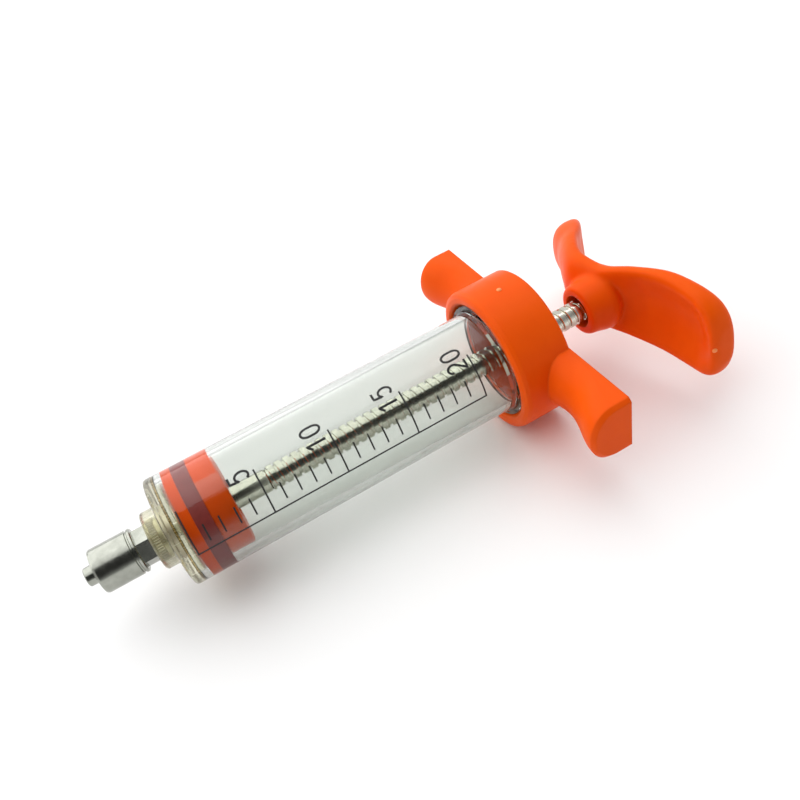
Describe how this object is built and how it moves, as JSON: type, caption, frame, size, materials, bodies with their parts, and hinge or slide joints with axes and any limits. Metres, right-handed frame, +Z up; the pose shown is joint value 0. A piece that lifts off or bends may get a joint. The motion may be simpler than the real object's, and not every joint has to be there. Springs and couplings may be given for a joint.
{
  "type": "hand syringe",
  "caption": "Reusable 20 ml Luer-lock hand syringe: clear graduated barrel, rod with adjustable piston, two-wing finger grip and crescent palm handle.",
  "frame": {"origin": "centre of the Luer cone's tip face", "axes": "+X along the bore from the nozzle to the palm handle, finger wings along Y, +Z up with the wings level; drawn with the plunger fully home"},
  "size_m": [0.1383, 0.068, 0.033],
  "materials": {
    "clear_barrel": "clear moulded plastic, polished, slightly grey-green",
    "clear_cap": "clear moulded plastic, faintly olive",
    "amber_washer": "thin amber sealing washer",
    "plated_metal": "nickel-chrome plated, satin turned marks",
    "plain_steel": "turned stainless steel",
    "brass": "turned brass, plain",
    "orange_plastic": "moulded orange nylon, semi-gloss with a faint grain",
    "seal_rubber": "dark red silicone rubber, slightly shiny",
    "black_rubber": "black rubber ring"
  },
  "bodies": {
    "barrel_assembly": {"luer_nozzle": "plated_metal", "luer_lock_collar": "plated_metal", "nozzle_gasket": "black_rubber", "nozzle_insert": "brass", "nose_cap": "clear_cap", "nose_washer": "amber_washer", "barrel": "clear_barrel", "rear_seat_ring": "amber_washer", "rod_guide_bush": "brass", "finger_grip": "orange_plastic"},
    "piston_carrier": {"piston_rear_disc": "orange_plastic", "piston_seal": "seal_rubber", "thrust_washer": "plain_steel"},
    "piston_nose": {"piston_front_disc": "orange_plastic", "piston_front_insert": "brass"},
    "plunger": {"plunger_rod": "plated_metal", "handle_insert": "brass", "handle": "orange_plastic"}
  },
  "joints": [
    {"name": "plunger_slide", "type": "slide", "parent": "barrel_assembly", "child": "piston_carrier", "axis": [1, 0, 0], "range_m": [0, 0.066]},
    {"name": "handle_turn", "type": "hinge", "parent": "piston_carrier", "child": "plunger", "pos_m": [0, 0, 0], "axis": [-1, 0, 0], "range_deg": [0, 360]},
    {"name": "piston_squeeze", "type": "slide", "parent": "piston_carrier", "child": "piston_nose", "axis": [1, 0, 0], "range_m": [0, 0.00071], "deforming": ["piston_seal"]}
  ],
  "couplings": [
    {"joint": "piston_squeeze", "follows": "handle_turn", "m_per_rad": 0.00011141}
  ]
}
